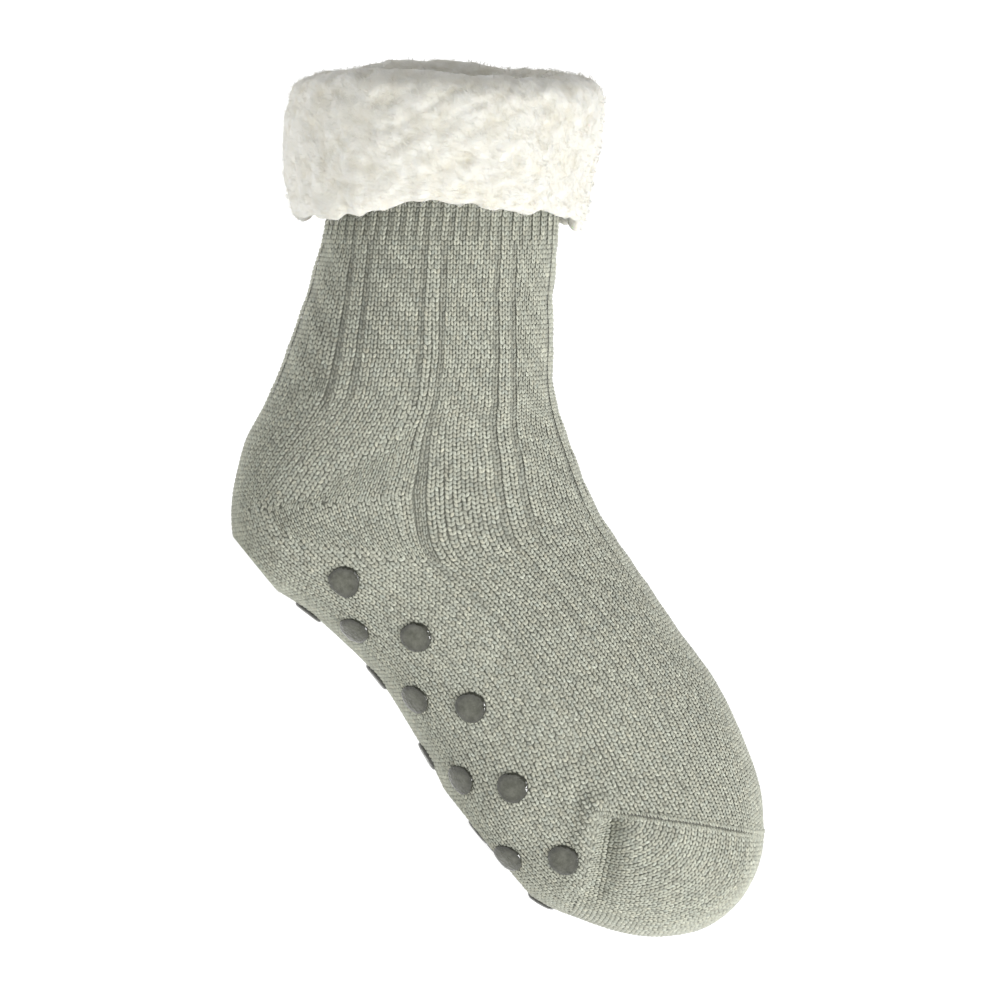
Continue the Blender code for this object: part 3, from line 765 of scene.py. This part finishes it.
profile_way = np.roll(cuff_grid, -1, axis=1) - np.roll(cuff_grid, 1, axis=1)
cuff_normal = np.cross(round_way, profile_way)
cuff_normal /= np.linalg.norm(cuff_normal, axis=-1, keepdims=True)
axis_of_leg = outward(0.0, 90.0)
if np.sum(cuff_normal[CUFF_AROUND // 4, 3] * axis_of_leg) < 0:
    cuff_normal = -cuff_normal
around_way = np.radians(angle_of) * CUFF_RADIUS
shown = np.clip((out_of - 0.004) / 0.004, 0, 1) + np.clip((-down_of + 0.004) / 0.006, 0, 1)
lined = (out_of < inside - CUFF_LINING * 0.4)
puff = np.clip(shown + lined, 0, 1)
height = pile_height(cuff_grid, around_way, down_of) * puff
cuff_points = cuff_grid + cuff_normal * height[..., None]
# Painted shade: the pile is darkened and warmed down in the hollows between its locks
painted_hollow_mask = np.clip(-height / 0.0014, 0, 1)[..., None]
# Painted shade: the inner face of the roll and the lining are greyed, as they lie in shade inside the
# opening
painted_inside_mask = np.clip((0.0045 - out_of) / 0.006, 0, 1)[..., None]
cuff_painted_shade = ((1 - painted_hollow_mask * np.array([0.02, 0.05, 0.13]))
              * (1 - painted_inside_mask * np.array([0.04, 0.045, 0.06])))
cuff_faces = np.mod(grid_faces(CUFF_AROUND + 1, CUFF_STEPS, True), CUFF_AROUND * CUFF_STEPS)
cuff = mesh_piece("fleece_cuff_pile", cuff_points, cuff_faces, fleece, cuff_painted_shade)
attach(cuff, "root")
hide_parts("fleece_cuff")

# The pile's loose ends: short curled fibres that stand off the locks and soften their outline
FIBRE_COUNT = 15000
FIBRE_LENGTH = 0.0034
FIBRE_THICKNESS = 0.00016
puffed = np.argwhere(puff > 0.9)
picked = puffed[pile_chance.integers(0, len(puffed), FIBRE_COUNT)]
root = cuff_points[picked[:, 0], picked[:, 1]]
out_way = cuff_normal[picked[:, 0], picked[:, 1]]
down_way = profile_way[picked[:, 0], picked[:, 1]]
down_way = down_way / np.linalg.norm(down_way, axis=1, keepdims=True)
side_way = np.cross(out_way, down_way)
heading = pile_chance.normal(0.9, 0.8, FIBRE_COUNT)
lying = down_way * np.cos(heading)[:, None] + side_way * np.sin(heading)[:, None]
curl_way = np.cross(out_way, lying)
curl = pile_chance.normal(0, 0.5, FIBRE_COUNT)[:, None]
reach = (FIBRE_LENGTH * pile_chance.uniform(0.5, 1.3, FIBRE_COUNT))[:, None]
fibre_points = []
for share, rise in ((0.0, -0.02), (0.35, 0.22), (0.7, 0.30), (1.0, 0.20)):
    spine = root + lying * share * reach + curl_way * curl * share ** 2 * reach + out_way * rise * reach
    wide = FIBRE_THICKNESS * (1 - 0.6 * share) * 0.5
    fibre_points += [spine - curl_way * wide, spine + curl_way * wide]
fibre_points = np.stack(fibre_points, axis=1)
fibre_faces = np.array([(0, 1, 3, 2), (2, 3, 5, 4), (4, 5, 7, 6)])
fibre_faces = (fibre_faces[None] + (np.arange(FIBRE_COUNT) * 8)[:, None, None]).reshape(-1, 4)
fibre_shade = np.repeat(pile_chance.uniform(0.96, 1.05, FIBRE_COUNT), 8)[:, None] * np.ones(3)
fibres = mesh_piece("fleece_fibres", fibre_points, fibre_faces, fleece, fibre_shade)
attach(fibres, "root")

# The lining goes on down the leg and along the foot, a low pile against the knit's inner face
LINING_PILE = 0.0006
LINING_AROUND = 120
lining_places = np.concatenate([np.linspace(0.35, 17.0, 150), [17.5, 17.8]])
lining_angles = np.arange(LINING_AROUND) * 360 / LINING_AROUND
place_in, angle_in = np.meshgrid(lining_places, lining_angles, indexing="ij")
lining_grid = cloth_point(place_in, angle_in, -KNIT_WALL)
lining_out = outward(place_in, angle_in)
lining_height = LINING_PILE * (1 + lumps(lining_grid, 0.0045) + 0.5 * lumps(lining_grid + 0.4, 0.002))
lining_points = lining_grid - lining_out * lining_height[..., None]
lining = mesh_piece("fleece_lining", lining_points,
                    grid_faces(len(lining_places), LINING_AROUND, True)[:, ::-1], fleece,
                    np.ones((lining_points.size // 3, 3)))
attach(lining, "root")


# The grip dots. Drops of clear rubber are printed on the sole and sides in five rows; each soaks
# a little into the knit, dries to a low glossy dome and shows the yarn darkened under it.
DOT_RADIUS = 0.00545
DOT_ROW_SPACING = 0.0185
DOT_AROUND = 36
# share of the dot's radius and of its height, then its shade, from the foot up to the crown
DOT_RISE = ((1.0, -0.25, 0.50), (1.0, 0.05, 0.50), (0.98, 0.32, 0.52), (0.93, 0.54, 0.60),
            (0.85, 0.72, 0.80), (0.72, 0.86, 1.05), (0.55, 0.95, 1.20), (0.35, 1.0, 1.30),
            (0.15, 1.0, 1.32))
# name, how many row spacings aside, first and pitch as shares of the foot's length, how many
DOT_ROWS = (
    ("middle", 0, 0.1184, 0.1426, 5),
    ("left_inner", 1, 0.1745, 0.1383, 4),
    ("right_inner", -1, 0.1745, 0.1383, 4),
    ("left_outer", 2, 0.1018, 0.1333, 5),
    ("right_outer", -2, 0.1018, 0.1333, 5),
)


def sole_angle(place, aside):
    """The angle at this distance round the section from the middle of the sole."""
    angles = np.arange(-90.0, 60.0, 0.5)
    bare = bare_point(np.full_like(angles, place), angles)
    stand = 0.0 if place < ARCH_PLACE else SEAT_GAP + DOT_THICKNESS
    bare[:, 2] = np.maximum(bare[:, 2], stand)
    gone = np.concatenate([[0], np.cumsum(np.linalg.norm(np.diff(bare, axis=0), axis=1))])
    angle = float(np.interp(abs(aside), gone, angles))
    return angle if aside >= 0 else -180 - angle


def sole_place(x, aside):
    """The place and angle on the sole this far ahead of the origin and this far from the middle."""
    low, high = 4.0, LAST_PLACE - 1.0
    for _ in range(40):
        place = (low + high) / 2
        angle = sole_angle(place, aside)
        if bare_point(place, angle)[0] < x:
            low = place
        else:
            high = place
    return place, angle


rubber = bpy.data.materials.new("clear_rubber")
rubber.use_nodes = True
nodes, links = rubber.node_tree.nodes, rubber.node_tree.links
shader = nodes["Principled BSDF"]
shader.inputs["Roughness"].default_value = 0.22
shader.inputs["IOR"].default_value = 1.5
shader.inputs["Coat Weight"].default_value = 0.8
shader.inputs["Coat Roughness"].default_value = 0.08
rubber_place = nodes.new("ShaderNodeTexCoord")
rubber_shade = nodes.new("ShaderNodeAttribute")
rubber_shade.attribute_name = "tone_and_painted_shade"
cloudy = nodes.new("ShaderNodeTexNoise")
cloudy.inputs["Scale"].default_value = 420
cloudy.inputs["Detail"].default_value = 4
seen_knit = nodes.new("ShaderNodeValToRGB")
seen_knit.color_ramp.elements[0].position = 0.33
seen_knit.color_ramp.elements[0].color = (0.034, 0.036, 0.020, 1)
seen_knit.color_ramp.elements[1].position = 0.68
seen_knit.color_ramp.elements[1].color = (0.084, 0.085, 0.064, 1)
rubber_dye = nodes.new("ShaderNodeMix")
rubber_dye.data_type = "RGBA"
rubber_dye.blend_type = "MULTIPLY"
rubber_dye.inputs["Factor"].default_value = 1.0
weave_under = nodes.new("ShaderNodeTexVoronoi")
weave_under.inputs["Scale"].default_value = 900
rubber_nap = nodes.new("ShaderNodeBump")
rubber_nap.inputs["Strength"].default_value = 0.6
rubber_nap.inputs["Distance"].default_value = 0.0003
links.new(rubber_place.outputs["Object"], cloudy.inputs["Vector"])
links.new(rubber_place.outputs["Object"], weave_under.inputs["Vector"])
links.new(cloudy.outputs["Fac"], seen_knit.inputs["Fac"])
links.new(seen_knit.outputs["Color"], rubber_dye.inputs["A"])
links.new(rubber_shade.outputs["Color"], rubber_dye.inputs["B"])
links.new(rubber_dye.outputs["Result"], shader.inputs["Base Color"])
links.new(weave_under.outputs["Distance"], rubber_nap.inputs["Height"])
links.new(rubber_nap.outputs["Normal"], shader.inputs["Normal"])
links.new(rubber_nap.outputs["Normal"], shader.inputs["Coat Normal"])

for row_name, aside, first, pitch, count in DOT_ROWS:
    for number in range(count):
        place, angle = sole_place((first + pitch * number) * FOOT_LENGTH, aside * DOT_ROW_SPACING)
        by_place = (bare_point(place + 0.2, angle) - bare_point(place - 0.2, angle)) / 0.4
        by_angle = (bare_point(place, angle + 6) - bare_point(place, angle - 6)) / 12
        onward = by_place / np.linalg.norm(by_place)
        across = np.cross(outward(place, angle), onward)
        spread = np.array([[by_place @ onward, by_angle @ onward],
                           [by_place @ across, by_angle @ across]])
        turns = np.radians(np.arange(DOT_AROUND) * 360 / DOT_AROUND)
        uneven = 1 + 0.020 * np.sin(3 * turns + number) + 0.014 * np.sin(7 * turns + 2 * aside)
        rings = []
        for wide, high, _ in DOT_RISE:
            round_dot = np.stack([np.cos(turns), np.sin(turns)]) * DOT_RADIUS * wide * uneven
            moved = np.linalg.solve(spread, round_dot)
            rings.append(cloth_point(
                place + moved[0], angle + moved[1], SEAT_GAP + DOT_THICKNESS * high))
        rings = np.array(rings)
        dot = mesh_piece(f"rubber_dot_{row_name}_{number + 1}", rings,
                         grid_faces(len(DOT_RISE), DOT_AROUND, True), rubber,
                         np.repeat([row[2] for row in DOT_RISE], DOT_AROUND)[:, None] * np.ones(3))
        mesh = dot.data
        shape = bmesh.new()
        shape.from_mesh(mesh)
        shape.verts.ensure_lookup_table()
        inner = [shape.verts[(len(DOT_RISE) - 1) * DOT_AROUND + k] for k in range(DOT_AROUND)]
        shape.faces.new(inner)
        bmesh.ops.recalc_face_normals(shape, faces=shape.faces)
        shape.to_mesh(mesh)
        shape.free()
        mesh.shade_smooth()
        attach(dot, "root")
        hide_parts(f"grip_dot_{row_name}_{number + 1}")


# The floor that it stands on, a seamless pale sweep up behind it, and the studio's soft lights
SWEEP_START = 1.2
SWEEP_RADIUS = 1.5


def pale_sweep(name, colour):
    """Matt paper, lit a little from itself so that it stays white."""
    material = bpy.data.materials.new(name)
    material.use_nodes = True
    shader = material.node_tree.nodes["Principled BSDF"]
    shader.inputs["Base Color"].default_value = (*colour, 1)
    shader.inputs["Roughness"].default_value = 0.9
    shader.inputs["Specular IOR Level"].default_value = 0.0
    shader.inputs["Emission Color"].default_value = (1, 1, 1, 1)
    shader.inputs["Emission Strength"].default_value = 0.84
    return material


sweep_profile = [(-6.0, 0.0), (0.0, 0.0), (SWEEP_START, 0.0)]
sweep_profile += [(SWEEP_START + SWEEP_RADIUS * math.sin(turned), SWEEP_RADIUS * (1 - math.cos(turned)))
                  for turned in np.linspace(0.15, math.pi / 2, 12)]
sweep_profile += [(SWEEP_START + SWEEP_RADIUS, 7.0)]
sweep_points = np.array([[(side, y, z) for side in (-7.0, 7.0)] for y, z in sweep_profile])
sweep = mesh_piece("studio_floor", sweep_points, grid_faces(len(sweep_profile), 2, False)[:, ::-1],
                   pale_sweep("pale_floor", (0.36, 0.36, 0.36)))

world = bpy.data.worlds.new("studio")
bpy.context.scene.world = world
world.use_nodes = True
background = world.node_tree.nodes["Background"]
background.inputs["Color"].default_value = (1, 1, 1, 1)
sky_place = world.node_tree.nodes.new("ShaderNodeTexCoord")
sky_axes = world.node_tree.nodes.new("ShaderNodeSeparateXYZ")
sky_strength = world.node_tree.nodes.new("ShaderNodeMapRange")
sky_strength.inputs["From Min"].default_value = -1
sky_strength.inputs["From Max"].default_value = 1
sky_strength.inputs["To Min"].default_value = 0.09
sky_strength.inputs["To Max"].default_value = 0.63
world.node_tree.links.new(sky_place.outputs["Generated"], sky_axes.inputs["Vector"])
world.node_tree.links.new(sky_axes.outputs["X"], sky_strength.inputs["Value"])
world.node_tree.links.new(sky_strength.outputs["Result"], background.inputs["Strength"])


def soft_light(name, place, aim, size, power):
    """A round white lamp of this size that faces its aim."""
    light = bpy.data.lights.new(name, "AREA")
    light.shape = "DISK"
    light.size = size
    light.energy = power
    lamp = bpy.data.objects.new(name, light)
    lamp.location = place
    lamp.rotation_mode = "QUATERNION"
    lamp.rotation_quaternion = (Vector(aim) - Vector(place)).to_track_quat("-Z", "Y")
    bpy.context.scene.collection.objects.link(lamp)


soft_light("key_light", (1.23, -1.12, 0.84), (0.04, 0, 0.08), 0.7, 25)
soft_light("glint_light", (1.2, -1.3, 0.35), (0.04, 0, 0.06), 0.12, 2.6)
soft_light("back_light", (0.0, 1.6, 2.2), (0.0, 2.6, 1.0), 1.5, 30)

# The camera looks at its right side, rolled as in the picture, level with the floor at its lowest
VIEW_AZIMUTH = -8.0
VIEW_ELEVATION = -2.5
VIEW_DISTANCE = 1.447
IMAGE_UP_LEAN = 51.2
VIEW_CENTRE = Vector((0.0396, 0.0, 0.0797))
azimuth, elevation = math.radians(VIEW_AZIMUTH), math.radians(VIEW_ELEVATION)
toward_camera = Vector((math.sin(azimuth) * math.cos(elevation),
                        -math.cos(azimuth) * math.cos(elevation), math.sin(elevation)))
camera_data = bpy.data.cameras.new("camera")
camera_data.lens = 150
camera = bpy.data.objects.new("camera", camera_data)
bpy.context.scene.collection.objects.link(camera)
camera.location = VIEW_CENTRE + toward_camera * VIEW_DISTANCE
image_up = Vector((-math.sin(math.radians(IMAGE_UP_LEAN)), 0, math.cos(math.radians(IMAGE_UP_LEAN))))
image_right = image_up.cross(toward_camera).normalized()
image_up = toward_camera.cross(image_right)
from_columns = [[image_right[i], image_up[i], toward_camera[i]] for i in range(3)]
camera.rotation_mode = "QUATERNION"
camera.rotation_quaternion = Matrix(from_columns).to_quaternion()
bpy.context.scene.camera = camera
bpy.context.scene.view_settings.view_transform = "Standard"
